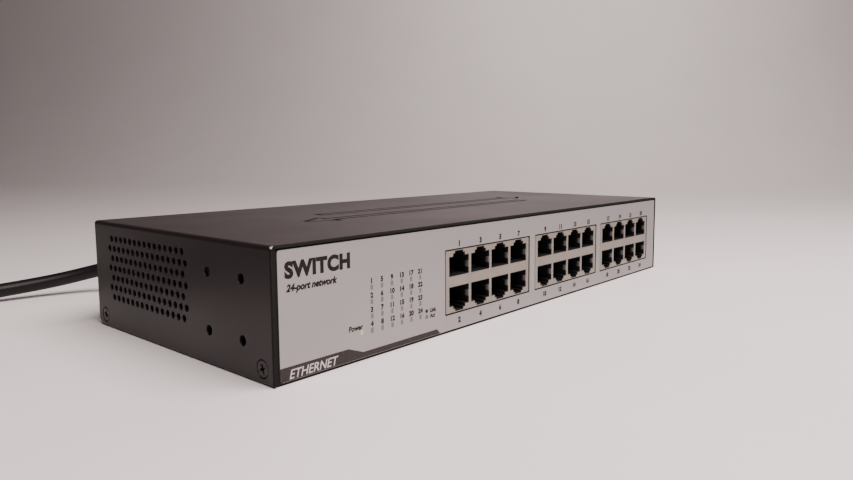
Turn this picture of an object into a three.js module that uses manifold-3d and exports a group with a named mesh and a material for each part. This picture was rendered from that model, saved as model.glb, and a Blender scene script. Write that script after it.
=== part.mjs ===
// A 24-port desktop network switch with a folded steel case and a detachable mains lead.
// Millimetres. +X is to the right seen from the front, +Y to the rear, +Z up.
// The origin is the centre of the case's underside.
import * as THREE from "three";
import { mergeVertices } from "three/addons/utils/BufferGeometryUtils.js";
import Module from "manifold-3d";

const wasm = await Module();
wasm.setup();

// ---------------------------------------------------------------- driving dimensions

const WIDTH = 280;
const DEPTH = 125;
const HEIGHT = 44;
const SHEET = 1; // steel thickness
const GAP = 0.3; // running gap between neighbouring pieces

const SIDE = WIDTH / 2;
const FRONT = -DEPTH / 2;
const REAR = DEPTH / 2;

// Front and rear walls of the chassis stand a little inside the cover's edges.
const WALL_SET_BACK = 0.5;
const WALL_FRONT = FRONT + WALL_SET_BACK;
const WALL_REAR = REAR - WALL_SET_BACK;
const CHASSIS_SIDE = SIDE - SHEET - GAP;
const CHASSIS_TOP = HEIGHT - SHEET - GAP;
const FLANGE_HEIGHT = 9.5;
const LIP_DEPTH = 6;
const LABEL = { left: -137.7, right: 138.5, bottom: 0.9, top: 42.4 };

// Side wall: ventilation holes, bracket holes and cover screws.
const VENT_PITCH = 4;
const VENT_RADIUS = 1.25;
const VENT_ROWS = 7;
const VENT_LONG_ROW = 16;
const VENT_CENTRE_Y = 19;
const VENT_CENTRE_Z = 25.5;
const BRACKET_HOLE_RADIUS = 1.75;
const BRACKET_SPACING = 20.2;
const BRACKET_CENTRE = [-35.7, 22.2];
const SCREW_Y = 56.2;
const SCREW_Z = 4.9;
const SCREW_HEAD_RADIUS = 2.9;
const CORNER_CUT = 2.2; // bevel at the cover's lower rear corners

// Port blocks: two rows of four sockets in each of three blocks.
const BLOCK_X = [-30, 34.3, 98.6];
const BLOCK_WIDTH = 58.6;
const BLOCK_BOTTOM = 7.7;
const BLOCK_TOP = 33;
const BLOCK_DEPTH = 26;
const BLOCK_FRONT = WALL_FRONT - 0.1;
const BLOCK_MID = (BLOCK_BOTTOM + BLOCK_TOP) / 2;
const SHIELD = 0.3; // shield metal thickness
const SHIELD_CLEARANCE = 0.3; // by which the shield's openings clear the moulding's
const PORT_PITCH = 14;
const PORT_WIDTH = 11.9;
const PORT_INNER = 2.45; // from the block's middle to the near edge of a socket
const PORT_OUTER = 9.85; // from the block's middle to the latch side of the plug's body
const LATCH_WIDE = 7;
const LATCH_NARROW = 4.6;
const LATCH_STEP = 11.1;
const LATCH_END = 12.05;
const HOUSING_BACK = -47;
const WINDOW_MARGIN = 0.45;

// Indicator lights: six columns of four, and one power light.
const LED_COLUMNS = 6;
const LED_ROWS = 4;
const LED_FIRST = [-99.2, 9.8];
const LED_PITCH = [4.96, 5.1];
const LED_HOLE = [1.5, 2];
const POWER_LED = [-103.9, 9.9];

// Main board on bosses of the chassis.
const BOARD = { x: 134, front: -60.5, back: 12, bottom: 5.9, thick: 1.6 };
const BOARD_TOP = BOARD.bottom + BOARD.thick;
const BOARD_SCREWS = [[-128, -12], [-66, 6], [66, 6], [128, -12]];

// Power board and mains inlet.
const POWER_BOARD = { left: -134, right: -44, front: 16, back: 60, bottom: 7 };
const POWER_TOP = POWER_BOARD.bottom + BOARD.thick;
const POWER_SCREWS = [[-129, 21], [-49, 55]];
const BOSS_RADIUS = 3.2;
const INLET = { x: -100, z: 18.9, width: 27.4, height: 20, depth: 24 };
const NOSE = { width: 23.8, height: 15.6, bevel: 4.5, length: 15.8 };
const PIN_SPACING = 14;
const PIN_RISE = 4;

// Mains lead.
const CORD_RADIUS = 3.4;
const CORD_SIDES = 8;
const RELIEF_END = 40; // from the rear of the case to the end of the strain relief
const COIL = { x: -228, y: 98.7, outer: 51.5, inner: 28.3, low: 4.2, high: 11.1, sides: 36 };
const TAIL_ANGLE = THREE.MathUtils.degToRad(205);
const TAIL_LENGTH = 38;
const TIE = { width: 10, thick: 0.5 };
const PLUG_HEIGHT = 12.4;

// The cord from the strain relief to the coil, laid along the table.
const RUN = [
  [-100, 103.3, 18.8],
  [-100.5, 110.3, 17.7],
  [-102.7, 117.4, 16],
  [-106.6, 123.8, 14],
  [-111.8, 129.1, 12],
  [-118.1, 133.3, 10.3],
  [-124.8, 136.5, 8.8],
  [-131.9, 139.1, 7.6],
  [-139.1, 141.2, 6.7],
  [-148.9, 143.2, 5.8],
  [-160.7, 144.9, 5],
  [-173.7, 146.1, 4.4],
  [-186.7, 146.9, 4],
  [-199.7, 147.4, 3.8],
  [-212.7, 147.8, 3.9],
  [-228, 148, 4.2],
];

// ---------------------------------------------------------------- materials

const paint = (color, roughness, metalness) =>
  new THREE.MeshStandardMaterial({ color, roughness, metalness });

const blackPaint = paint(0x2b2727, 0.55, 0.1);
const labelSilver = paint(0xb9b5b3, 0.5, 0.2);
const nickel = paint(0xb8b3a8, 0.35, 0.9);
const blackPlastic = paint(0x151414, 0.5, 0);
const gold = paint(0xc9a24a, 0.3, 1);
const boardGreen = paint(0x1d5a34, 0.5, 0);
const chipBlack = paint(0x1c1c1e, 0.6, 0);
const aluminium = paint(0xb4b6b8, 0.4, 0.9);
const steel = paint(0x8d8c8a, 0.35, 0.9);
const screwBlack = paint(0x2a2828, 0.4, 0.6);
const windingTape = paint(0xd8b63a, 0.6, 0);
const sleeveBlue = paint(0x20304a, 0.4, 0);
const fuseGlass = paint(0xd9dede, 0.1, 0);
const clearSheet = paint(0xdad8cf, 0.3, 0);
const lens = paint(0x9d9a96, 0.4, 0);
const wireRed = paint(0xa02a22, 0.5, 0);
const cordBlack = paint(0x1a1719, 0.5, 0);
const tieBlack = paint(0x202022, 0.8, 0);

// ---------------------------------------------------------------- shapes and solids

const X = new THREE.Vector3(1, 0, 0);
const Y = new THREE.Vector3(0, 1, 0);
const Z = new THREE.Vector3(0, 0, 1);
// For each axis, where an outline's two directions and its depth point.
const DIRECTIONS = { x: [Y, Z, X], y: [X, Z, Y.clone().negate()], z: [X, Y, Z] };

const vectors = (points) => points.map(([a, b]) => new THREE.Vector2(a, b));

const rectangle = (a0, b0, a1, b1) => [[a0, b0], [a1, b0], [a1, b1], [a0, b1]];

const centred = (a, b, width, height) =>
  rectangle(a - width / 2, b - height / 2, a + width / 2, b + height / 2);

function circle(a, b, radius, sides = 12, turn = 0) {
  const points = [];
  for (let i = 0; i < sides; i++) {
    const angle = turn + (2 * Math.PI * i) / sides;
    points.push([a + radius * Math.cos(angle), b + radius * Math.sin(angle)]);
  }
  return points;
}

// Outlines drawn across an axis and extruded along it. Their directions are
// Y, Z across x; X, Z across y; and X, Y across z.
function extrude(axis, outlines, from, to) {
  const shapes = outlines.map((points) => new THREE.Shape(vectors(points)));
  const options = { depth: to - from, bevelEnabled: false };
  const geometry = new THREE.ExtrudeGeometry(shapes, options);
  geometry.applyMatrix4(new THREE.Matrix4().makeBasis(...DIRECTIONS[axis]));
  const start = { x: [from, 0, 0], y: [0, to, 0], z: [0, 0, from] }[axis];
  return geometry.translate(...start);
}

function prism(axis, points, from, to, holes = []) {
  const body = extrude(axis, [points], from, to);
  return holes.length ? cut(body, extrude(axis, holes, from - 1, to + 1)) : body;
}

const box = (low, high) =>
  prism("z", rectangle(low[0], low[1], high[0], high[1]), low[2], high[2]);

// A closed body through rings of points that all have the same count.
function loft(rings) {
  const count = rings[0].length;
  const index = [];
  for (let r = 0; r + 1 < rings.length; r++) {
    for (let i = 0; i < count; i++) {
      const a = r * count + i;
      const b = r * count + ((i + 1) % count);
      index.push(a, b, b + count, a, b + count, a + count);
    }
  }
  const last = (rings.length - 1) * count;
  for (let i = 1; i + 1 < count; i++) {
    index.push(0, i + 1, i, last, last + i, last + i + 1);
  }
  const geometry = new THREE.BufferGeometry();
  geometry.setAttribute("position", new THREE.Float32BufferAttribute(rings.flat(2), 3));
  geometry.setIndex(index);
  return geometry;
}

// A rounded rectangle across y, as one ring of a loft that runs along +Y.
function softRing(y, width, height, radius, steps = 2) {
  const points = [];
  const corners = [[1, -1], [-1, -1], [-1, 1], [1, 1]];
  corners.forEach(([sx, sz], quarter) => {
    for (let i = 0; i <= steps; i++) {
      const angle = -(Math.PI / 2) * (quarter + i / steps);
      points.push([
        sx * (width / 2 - radius) + radius * Math.cos(angle),
        y,
        sz * (height / 2 - radius) + radius * Math.sin(angle),
      ]);
    }
  });
  return points;
}

function solid(geometry) {
  const bare = geometry.clone();
  bare.deleteAttribute("normal");
  bare.deleteAttribute("uv");
  const merged = mergeVertices(bare, 1e-4);
  const mesh = new wasm.Mesh({
    numProp: 3,
    vertProperties: merged.attributes.position.array,
    triVerts: new Uint32Array(merged.index.array),
  });
  return new wasm.Manifold(mesh);
}

function geometryOf(manifold) {
  const mesh = manifold.getMesh();
  const geometry = new THREE.BufferGeometry();
  geometry.setAttribute("position", new THREE.BufferAttribute(mesh.vertProperties, 3));
  geometry.setIndex(new THREE.BufferAttribute(mesh.triVerts, 1));
  return geometry;
}

const join = (...parts) =>
  geometryOf(parts.map(solid).reduce((whole, part) => whole.add(part)));

const cut = (body, ...tools) =>
  geometryOf(tools.map(solid).reduce((rest, tool) => rest.subtract(tool), solid(body)));

const group = new THREE.Group();

function piece(name, geometry, material, position = [0, 0, 0], parent = group) {
  const mesh = new THREE.Mesh(geometry, material);
  mesh.name = name;
  mesh.position.set(...position);
  parent.add(mesh);
  return mesh;
}

// ---------------------------------------------------------------- case

const screwPlaces = [-SCREW_Y, SCREW_Y].map((y) => [y, SCREW_Z]);

function ventHoles() {
  const holes = [];
  for (let row = 0; row < VENT_ROWS; row++) {
    const count = row % 2 === 0 ? VENT_LONG_ROW - 1 : VENT_LONG_ROW;
    const z = VENT_CENTRE_Z + (row - (VENT_ROWS - 1) / 2) * VENT_PITCH;
    for (let i = 0; i < count; i++) {
      const y = VENT_CENTRE_Y + (i - (count - 1) / 2) * VENT_PITCH;
      holes.push(circle(y, z, VENT_RADIUS, 6));
    }
  }
  return holes;
}

function bracketHoles() {
  const half = BRACKET_SPACING / 2;
  return rectangle(-half, -half, half, half).map(([y, z]) =>
    circle(BRACKET_CENTRE[0] + y, BRACKET_CENTRE[1] + z, BRACKET_HOLE_RADIUS, 10),
  );
}

function coverSide(from, to) {
  const edge = [
    [FRONT, GAP],
    [REAR - CORNER_CUT, GAP],
    [REAR, GAP + CORNER_CUT],
    [REAR, HEIGHT],
    [FRONT, HEIGHT],
  ];
  const screws = screwPlaces.map(([y, z]) => circle(y, z, SCREW_HEAD_RADIUS + GAP));
  return prism("x", edge, from, to, [...ventHoles(), ...bracketHoles(), ...screws]);
}

function topCover() {
  const top = box([-SIDE, FRONT, HEIGHT - SHEET], [SIDE, REAR, HEIGHT]);
  return join(top, coverSide(-SIDE, SHEET - SIDE), coverSide(SIDE - SHEET, SIDE));
}

const windowOf = (x, margin) =>
  rectangle(
    x - BLOCK_WIDTH / 2 - margin,
    BLOCK_BOTTOM - margin / 2,
    x + BLOCK_WIDTH / 2 + margin,
    BLOCK_TOP + margin / 2,
  );

function ledPlaces() {
  const places = [];
  for (let column = 0; column < LED_COLUMNS; column++) {
    for (let row = 0; row < LED_ROWS; row++) {
      places.push([
        LED_FIRST[0] + column * LED_PITCH[0],
        LED_FIRST[1] + row * LED_PITCH[1],
      ]);
    }
  }
  return places;
}

// A boss with a screw hole, standing on the chassis floor.
const boss = ([x, y], top) =>
  prism("z", circle(x, y, BOSS_RADIUS, 10), SHEET / 2, top, [circle(x, y, 1.5, 8)]);

function baseChassis() {
  const inner = CHASSIS_SIDE - SHEET;
  const windows = BLOCK_X.map((x) => windowOf(x, WINDOW_MARGIN));
  const lights = [...ledPlaces(), POWER_LED].map(([x, z]) => centred(x, z, ...LED_HOLE));
  const wall = rectangle(-CHASSIS_SIDE, 0, CHASSIS_SIDE, CHASSIS_TOP);
  const inletHole = centred(
    INLET.x, INLET.z, INLET.width + 2 * GAP, INLET.height + 2 * GAP,
  );
  const flange = rectangle(WALL_FRONT, 0, WALL_REAR, FLANGE_HEIGHT);
  const flangeHoles = screwPlaces.map(([y, z]) => circle(y, z, 1.7, 8));
  const lipBottom = CHASSIS_TOP - SHEET;
  return join(
    box([-CHASSIS_SIDE, WALL_FRONT, 0], [CHASSIS_SIDE, WALL_REAR, SHEET]),
    prism("y", wall, WALL_FRONT, WALL_FRONT + SHEET, [...windows, ...lights]),
    prism("y", wall, WALL_REAR - SHEET, WALL_REAR, [inletHole]),
    prism("x", flange, -CHASSIS_SIDE, -inner, flangeHoles),
    prism("x", flange, inner, CHASSIS_SIDE, flangeHoles),
    box([-inner, WALL_FRONT, lipBottom], [inner, WALL_FRONT + LIP_DEPTH, CHASSIS_TOP]),
    box([-inner, WALL_REAR - LIP_DEPTH, lipBottom], [inner, WALL_REAR, CHASSIS_TOP]),
    ...BOARD_SCREWS.map((place) => boss(place, BOARD.bottom - GAP)),
    ...POWER_SCREWS.map((place) => boss(place, POWER_BOARD.bottom - GAP)),
  );
}

// The printed overlay on the front wall, open over the port blocks.
function frontLabel() {
  const edge = rectangle(LABEL.left, LABEL.bottom, LABEL.right, LABEL.top);
  const windows = BLOCK_X.map((x) => windowOf(x, WINDOW_MARGIN - 0.1));
  return prism("y", edge, WALL_FRONT - 0.3, WALL_FRONT - 0.02, windows);
}

// A flat-headed screw lying along +X with its head's face at the origin.
function coverScrew() {
  return join(
    prism("x", circle(0, 0, SCREW_HEAD_RADIUS), 0.05, 0.8),
    prism("x", circle(0, 0, 1.3, 8), 0.7, 6),
  );
}

piece("base_chassis", baseChassis(), blackPaint);
piece("top_cover", topCover(), blackPaint);
piece("front_label", frontLabel(), labelSilver);
[-1, 1].forEach((side, column) => {
  screwPlaces.forEach(([y, z], row) => {
    const name = `cover_screw_${2 * column + row + 1}`;
    const screw = piece(name, coverScrew(), screwBlack, [side * SIDE, y, z]);
    screw.rotation.z = side > 0 ? Math.PI : 0;
  });
});

// ---------------------------------------------------------------- port blocks

// A socket's outline about the block's middle: the plug's body and the stepped latch notch.
function socket(x, side, grow = 0) {
  const half = PORT_WIDTH / 2 + grow;
  const wide = LATCH_WIDE / 2 + grow;
  const narrow = LATCH_NARROW / 2 + grow;
  const profile = [
    [-half, PORT_INNER - grow],
    [half, PORT_INNER - grow],
    [half, PORT_OUTER + grow],
    [wide, PORT_OUTER + grow],
    [wide, LATCH_STEP + grow],
    [narrow, LATCH_STEP + grow],
    [narrow, LATCH_END + grow],
    [-narrow, LATCH_END + grow],
    [-narrow, LATCH_STEP + grow],
    [-wide, LATCH_STEP + grow],
    [-wide, PORT_OUTER + grow],
    [-half, PORT_OUTER + grow],
  ];
  return profile.map(([a, b]) => [x + a, BLOCK_MID + side * b]);
}

function sockets(grow) {
  const outlines = [];
  for (const side of [-1, 1]) {
    for (let i = 0; i < 4; i++) {
      outlines.push(socket((i - 1.5) * PORT_PITCH, side, grow));
    }
  }
  return outlines;
}

// Folded metal shield: a pierced front, a top, two sides and a back.
function portShield() {
  const half = BLOCK_WIDTH / 2;
  const back = BLOCK_FRONT + BLOCK_DEPTH;
  const face = rectangle(-half, BLOCK_BOTTOM, half, BLOCK_TOP);
  const under = [half - SHIELD, back - SHIELD, BLOCK_TOP - SHIELD];
  const sleeve = cut(
    box([-half, BLOCK_FRONT, BLOCK_BOTTOM], [half, back, BLOCK_TOP]),
    box([-under[0], BLOCK_FRONT - 1, BLOCK_BOTTOM - 1], under),
  );
  const front = prism("y", face, BLOCK_FRONT, BLOCK_FRONT + SHIELD, sockets(SHIELD_CLEARANCE));
  return join(front, sleeve);
}

const HOUSING = {
  half: BLOCK_WIDTH / 2 - 0.5,
  bottom: BLOCK_BOTTOM + 0.05,
  top: BLOCK_TOP - 0.5,
  front: BLOCK_FRONT + 0.5,
};

function portHousing() {
  const face = rectangle(-HOUSING.half, HOUSING.bottom, HOUSING.half, HOUSING.top);
  return prism("y", face, HOUSING.front, HOUSING_BACK, sockets(0));
}

// Contacts of all eight sockets on one carrier: a thin sprung tongue in each socket.
function portContacts() {
  const front = HOUSING_BACK + GAP;
  const parts = [box([-0.6, front, BLOCK_MID - 5], [0.6, front + 0.5, BLOCK_MID + 5])];
  for (const side of [-1, 1]) {
    const rail = [BLOCK_MID + side * 4.1, BLOCK_MID + side * 5.3].sort((a, b) => a - b);
    parts.push(box([-25.4, front, rail[0]], [25.4, front + 0.5, rail[1]]));
    const tongue = [
      [-57.5, BLOCK_MID + side * (PORT_INNER + 0.4)],
      [-57.5, BLOCK_MID + side * (PORT_INNER + 0.8)],
      [front + 0.4, BLOCK_MID + side * (PORT_INNER + 2.4)],
      [front + 0.4, BLOCK_MID + side * (PORT_INNER + 1.8)],
    ];
    for (let i = 0; i < 4; i++) {
      const x = (i - 1.5) * PORT_PITCH;
      parts.push(prism("x", tongue, x - 3.75, x + 3.75));
    }
  }
  return join(...parts);
}

// The moulding behind the sockets, which carries the contacts down to the board.
function portInsert() {
  const front = HOUSING_BACK + GAP + 0.8;
  return box([-28.4, front, BLOCK_BOTTOM + 0.1], [28.4, front + 7, HOUSING.top - 0.2]);
}

BLOCK_X.forEach((x, i) => {
  const place = [x, 0, 0];
  piece(`port_shield_${i + 1}`, portShield(), nickel, place);
  piece(`port_housing_${i + 1}`, portHousing(), blackPlastic, place);
  piece(`port_contacts_${i + 1}`, portContacts(), gold, place);
  piece(`port_insert_${i + 1}`, portInsert(), blackPlastic, place);
});

// ---------------------------------------------------------------- indicator lights

// A holder standing on the board, with its lenses in the front wall's holes.
function ledHolder(x, lights, top) {
  const bottom = BOARD_TOP + 0.1;
  const body = box([x - 2.2, -60.7, bottom], [x + 2.2, -53, top]);
  const lenses = lights.map((z) =>
    prism("y", centred(x, z, LED_HOLE[0] - 0.4, LED_HOLE[1] - 0.4), WALL_FRONT + 0.15, -60.5),
  );
  return join(body, ...lenses);
}

const rows = Array.from({ length: LED_ROWS }, (_, row) => LED_FIRST[1] + row * LED_PITCH[1]);
for (let column = 0; column < LED_COLUMNS; column++) {
  const x = column * LED_PITCH[0];
  piece(`led_stack_${column + 1}`, ledHolder(LED_FIRST[0], rows, 27.4), lens, [x, 0, 0]);
}
piece("power_led", ledHolder(0, [POWER_LED[1]], 12), lens, [POWER_LED[0] - 0.1, 0, 0]);

// ---------------------------------------------------------------- main board

function board(area, bottom, screws) {
  const holes = screws.map(([x, y]) => circle(x, y, 1.6, 8));
  return prism("z", area, bottom, bottom + BOARD.thick, holes);
}

// A pan-headed screw pointing down, with the underside of its head at the origin.
function boardScrew() {
  return join(
    prism("z", circle(0, 0, 2.8), 0.02, 2),
    prism("z", circle(0, 0, 1.2, 8), -5, 0.5),
  );
}

function heatSink(width, depth, base, height, fins) {
  const fin = (width / fins) * 0.45;
  const plates = [];
  for (let i = 0; i < fins; i++) {
    const x = -width / 2 + ((width - fin) * i) / (fins - 1);
    plates.push(box([x, -depth / 2, base / 2], [x + fin, depth / 2, height]));
  }
  const foot = box([-width / 2, -depth / 2, 0], [width / 2, depth / 2, base]);
  return join(foot, ...plates);
}

const boardArea = rectangle(-BOARD.x, BOARD.front, BOARD.x, BOARD.back);
piece("main_board", board(boardArea, BOARD.bottom, BOARD_SCREWS), boardGreen);
BOARD_SCREWS.forEach(([x, y], i) => {
  piece(`board_screw_${i + 1}`, boardScrew(), steel, [x, y, BOARD_TOP + 0.1]);
});
BLOCK_X.forEach((x, i) => {
  const module = box([-26, -6, 0], [26, 6, 6]);
  piece(`magnetics_${i + 1}`, module, chipBlack, [x, -28.5, BOARD_TOP + 0.2]);
});
const CHIP = [20, -5];
piece("switch_chip", box([-14, -14, 0], [14, 14, 3.2]), chipBlack, [...CHIP, BOARD_TOP + 0.2]);
piece("heat_sink", heatSink(32, 30, 2, 11, 8), aluminium, [...CHIP, BOARD_TOP + 3.7]);

// ---------------------------------------------------------------- power supply

const powerArea = rectangle(
  POWER_BOARD.left, POWER_BOARD.front, POWER_BOARD.right, POWER_BOARD.back,
);

// A bevelled-corner outline, the shape of a mains coupler's nose.
function noseOutline(grow = 0) {
  const w = NOSE.width / 2 + grow;
  const h = NOSE.height / 2 + grow;
  const b = NOSE.bevel;
  return [[-w, -h], [w, -h], [w, h - b], [w - b, h], [b - w, h], [-w, h - b]];
}

const PINS = {
  live: [PIN_SPACING / 2, -PIN_RISE / 2],
  neutral: [-PIN_SPACING / 2, -PIN_RISE / 2],
  earth: [0, PIN_RISE / 2],
};

// Inlet: its mouth is flush with the rear of the case, and it looks along +Y.
function inletBody() {
  const shell = centred(0, 0, INLET.width, INLET.height);
  return cut(
    prism("y", shell, -INLET.depth, 0),
    prism("y", noseOutline(0.5), -NOSE.length - 0.5, 1),
    ...Object.values(PINS).map(([x, z]) => pinSlot(x, z, -INLET.depth - 1, 0, 0.3)),
  );
}

const pinSlot = (x, z, from, to, grow) =>
  prism("y", centred(x, z, 2 + 2 * grow, 4 + 2 * grow), from, to);

function fuse() {
  const tube = prism("y", circle(0, 0, 2.6), -9, 9);
  const caps = [-9.5, 5.5].map((y) => prism("y", circle(0, 0, 3), y, y + 4));
  return join(tube, ...caps);
}

// A two-core winding on a square bobbin.
function choke() {
  return join(
    box([-7.5, -7.5, 0], [7.5, 7.5, 2]),
    box([-5.5, -5.5, 1], [5.5, 5.5, 14]),
    box([-7.5, -7.5, 13], [7.5, 7.5, 16]),
  );
}

function transformer() {
  return join(
    box([-12, -10, 0], [12, 10, 3]),
    box([-8.5, -8.5, 2], [8.5, 8.5, 16]),
    box([-12, -5, 2], [12, 5, 18]),
  );
}

const powerPlace = (x, y) => [x, y, POWER_TOP + 0.2];
piece("power_board", board(powerArea, POWER_BOARD.bottom, POWER_SCREWS), boardGreen);
POWER_SCREWS.forEach(([x, y], i) => {
  piece(`power_board_screw_${i + 1}`, boardScrew(), steel, [x, y, POWER_TOP + 0.1]);
});
const sheetHoles = POWER_SCREWS.map(([x, y]) => circle(x, y, BOSS_RADIUS + 0.5, 10));
const insulatingSheet = prism("z", powerArea, 2, 2.25, sheetHoles);
piece("insulating_sheet", insulatingSheet, clearSheet);
piece("fuse", fuse(), fuseGlass, [-124, 33.9, POWER_TOP + 3.3]);
piece("line_filter_choke", choke(), windingTape, powerPlace(-124, 51.5));
const capacitor = (radius, height) => prism("z", circle(0, 0, radius, 16), 0, height);
piece("bulk_capacitor", capacitor(8, 25), sleeveBlue, powerPlace(-106, 27));
piece("power_heat_sink", box([-1, -9, 0], [1, 9, 22]), aluminium, powerPlace(-92, 27));
piece("transformer", transformer(), windingTape, powerPlace(-72, 30));
piece("output_capacitor", capacitor(5, 20), sleeveBlue, powerPlace(-51, 32));

const inlet = new THREE.Group();
inlet.position.set(INLET.x, REAR, INLET.z);
group.add(inlet);
piece("inlet_body", inletBody(), blackPlastic, [0, 0, 0], inlet);
for (const [name, [x, z]] of Object.entries(PINS)) {
  const reach = name === "earth" ? -0.8 : -2.8;
  piece(`inlet_pin_${name}`, pinSlot(x, z, -INLET.depth - 1, reach, 0), steel, [0, 0, 0], inlet);
}

// A ribbon of wires that carries the low voltage from the power board to the main board.
function dcHarness() {
  const route = new THREE.CatmullRomCurve3(
    [[-58, 20, 9.8], [-58, 17, 13], [-58, 11, 15], [-58, 4, 13], [-58, 0, 8.6]].map(
      (p) => new THREE.Vector3(...p),
    ),
  );
  const section = new THREE.Shape(vectors(circle(0, 0, 1.4, 6)));
  return new THREE.ExtrudeGeometry(section, { steps: 12, extrudePath: route });
}
piece("dc_harness", dcHarness(), wireRed);

// ---------------------------------------------------------------- mains lead

function cordAlong(points) {
  const route = new THREE.CatmullRomCurve3(points.map((p) => new THREE.Vector3(...p)));
  route.curveType = "catmullrom";
  const section = new THREE.Shape(vectors(circle(0, 0, CORD_RADIUS, CORD_SIDES)));
  const steps = Math.ceil(route.getLength() / (2.5 * CORD_RADIUS));
  return new THREE.ExtrudeGeometry(section, { steps, extrudePath: route });
}

// The outer shape of the coil, about the coil's own centre.
function coilRing(grow = 0) {
  const inner = COIL.inner - CORD_RADIUS - grow;
  const outer = COIL.outer + CORD_RADIUS + grow;
  const low = COIL.low - CORD_RADIUS - grow;
  const high = COIL.high + CORD_RADIUS + grow;
  const bevel = CORD_RADIUS / 2;
  const profile = [
    [outer, low + bevel],
    [outer, high - bevel],
    [outer - bevel, high],
    [inner + bevel, high],
    [inner, high - bevel],
    [inner, low + bevel],
    [inner + bevel, low],
    [outer - bevel, low],
    [outer, low + bevel],
  ];
  return new THREE.LatheGeometry(vectors(profile), COIL.sides).rotateX(Math.PI / 2);
}

// A strap round the coil's bundle of turns, on the side nearest the case.
function coilTie() {
  const left = COIL.inner - CORD_RADIUS - 1;
  const right = COIL.outer + CORD_RADIUS + GAP;
  const low = COIL.low - CORD_RADIUS - GAP;
  const high = COIL.high + CORD_RADIUS + GAP;
  const t = TIE.thick - 0.05;
  const strap = rectangle(left - t, low - t, right + t, high + t);
  const bundle = rectangle(left, low, right, high);
  return prism("y", strap, -TIE.width / 2, TIE.width / 2, [bundle]);
}

// The lead's connector: a nose with three pin slots, a grip and a tapered strain relief.
function leadConnector() {
  const grip = loft([
    softRing(GAP, 27, 19, 3),
    softRing(2, 28, 20, 4),
    softRing(15, 27, 19, 5),
    softRing(20, 22, 16, 6),
    softRing(25, 14, 13, 6),
    softRing(RELIEF_END, 9, 9, 4.4),
  ]);
  return cut(
    join(grip, prism("y", noseOutline(), -NOSE.length, 1)),
    ...Object.values(PINS).map(([x, z]) => pinSlot(x, z, -NOSE.length - 1, 0, 0.4)),
  );
}

// The wall plug, lying along +Y with the end of its strain relief at the origin.
const PLUG = { relief: 20, body: 52, blade: 16.5, earth: 20.5 };

function plugBody() {
  return loft([
    softRing(GAP, 9, 9, 4.4),
    softRing(PLUG.relief - 2, 13, 13, 6),
    softRing(PLUG.relief + 4, 20, 18, 7),
    softRing(PLUG.relief + 12, 25, 23, 8),
    softRing(PLUG.body - 3, 27, 24, 8),
    softRing(PLUG.body, 26, 23, 7),
  ]);
}

function leadTail() {
  const [dx, dy] = [-Math.sin(TAIL_ANGLE), Math.cos(TAIL_ANGLE)];
  const start = [
    COIL.x + COIL.outer * Math.cos(TAIL_ANGLE),
    COIL.y + COIL.outer * Math.sin(TAIL_ANGLE),
  ];
  const heights = [COIL.high, 11.2, 11.5, 12, PLUG_HEIGHT];
  return heights.map((z, i) => {
    const along = (TAIL_LENGTH * i) / (heights.length - 1);
    return [start[0] + dx * along, start[1] + dy * along, z];
  });
}

const lead = new THREE.Group();
group.add(lead);
const coilPlace = [COIL.x, COIL.y, 0];
const coilRoom = coilRing(GAP).translate(...coilPlace);
const tailRoute = leadTail();
const tailEnd = tailRoute.at(-1);

piece("lead_connector", leadConnector(), cordBlack, [INLET.x, REAR, INLET.z], lead);
piece("lead_cord", cut(cordAlong(RUN), coilRoom), cordBlack, [0, 0, 0], lead);
piece("lead_coil", coilRing(), cordBlack, coilPlace, lead);
piece("coil_tie", coilTie(), tieBlack, coilPlace, lead);
piece("lead_tail", cut(cordAlong(tailRoute), coilRoom), cordBlack, [0, 0, 0], lead);

const plug = new THREE.Group();
plug.position.set(...tailEnd);
plug.rotation.z = TAIL_ANGLE;
lead.add(plug);
piece("plug_body", plugBody(), cordBlack, [0, 0, 0], plug);
const prongFrom = PLUG.body + GAP;
[["live", 1], ["neutral", -1]].forEach(([name, side]) => {
  const x = side * 6.35;
  const blade = prism("y", centred(x, -4, 1.5, 6.35), prongFrom, PLUG.body + PLUG.blade);
  piece(`plug_blade_${name}`, blade, steel, [0, 0, 0], plug);
});
const earthPin = prism("y", circle(0, 7, 2.4), prongFrom, PLUG.body + PLUG.earth);
piece("plug_earth_pin", earthPin, steel, [0, 0, 0], plug);

export default group;
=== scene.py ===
"""A 24-port desktop network switch with its mains lead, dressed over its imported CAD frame.

Lengths are in millimetres until a piece is finished, when they become metres. +X is to the
right seen from the front, +Y to the rear, +Z up, and the origin is under the case's centre.
"""

import math

import bmesh
import bpy
from mathutils import Matrix, Vector


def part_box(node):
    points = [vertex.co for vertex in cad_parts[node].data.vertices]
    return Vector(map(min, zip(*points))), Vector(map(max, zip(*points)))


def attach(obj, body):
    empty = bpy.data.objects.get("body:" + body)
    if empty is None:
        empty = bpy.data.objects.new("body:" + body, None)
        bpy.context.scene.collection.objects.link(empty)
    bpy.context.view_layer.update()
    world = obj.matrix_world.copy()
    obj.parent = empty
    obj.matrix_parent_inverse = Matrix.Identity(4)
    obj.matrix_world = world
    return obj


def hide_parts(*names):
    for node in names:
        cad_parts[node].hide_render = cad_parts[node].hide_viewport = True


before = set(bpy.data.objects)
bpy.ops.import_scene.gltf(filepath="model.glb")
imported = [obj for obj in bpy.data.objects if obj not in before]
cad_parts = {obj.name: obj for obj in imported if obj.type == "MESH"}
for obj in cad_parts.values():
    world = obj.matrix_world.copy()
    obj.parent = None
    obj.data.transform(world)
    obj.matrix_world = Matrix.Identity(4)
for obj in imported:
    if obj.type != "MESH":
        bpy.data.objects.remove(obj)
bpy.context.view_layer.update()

MM = 0.001
CASE = "case"
LEAD = "power_lead"


def node_box(node):
    """Lowest and highest corner of a CAD node, in millimetres."""
    low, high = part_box(node)
    return Vector(low) / MM, Vector(high) / MM


# ---------------------------------------------------------------- camera

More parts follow.
